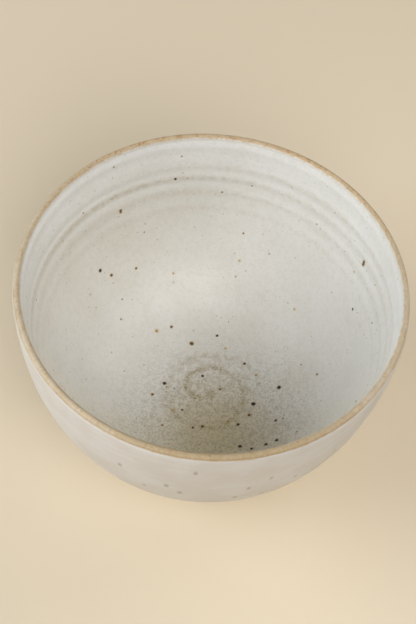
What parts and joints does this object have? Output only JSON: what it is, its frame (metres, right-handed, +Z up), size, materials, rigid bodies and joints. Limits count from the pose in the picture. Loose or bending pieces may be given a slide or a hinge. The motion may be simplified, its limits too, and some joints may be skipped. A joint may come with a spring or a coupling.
{
  "type": "ceramic bowl",
  "caption": "Deep round wheel-thrown stoneware bowl on a foot ring, open at the top to hold food, with a bare tan lip and a speckled off-white satin glaze.",
  "frame": {"origin": "centre of the foot's underside, on the bowl's axis", "axes": "+Z up the bowl's axis, -Y towards the side seen nearest in the picture, +X to its right"},
  "size_m": [0.16, 0.16, 0.097],
  "materials": {
    "bare_stoneware": "unglazed fired stoneware, warm tan, dry and slightly sandy",
    "lining_glaze": "satin off-white glaze with dark iron specks, thin and tan over the throwing ridges",
    "outside_glaze": "satin off-white glaze with faint iron specks and faint turning lines"
  },
  "bodies": {
    "root": {"clay_body": "bare_stoneware", "inner_glaze": "lining_glaze", "outer_glaze": "outside_glaze"}
  },
  "joints": []
}
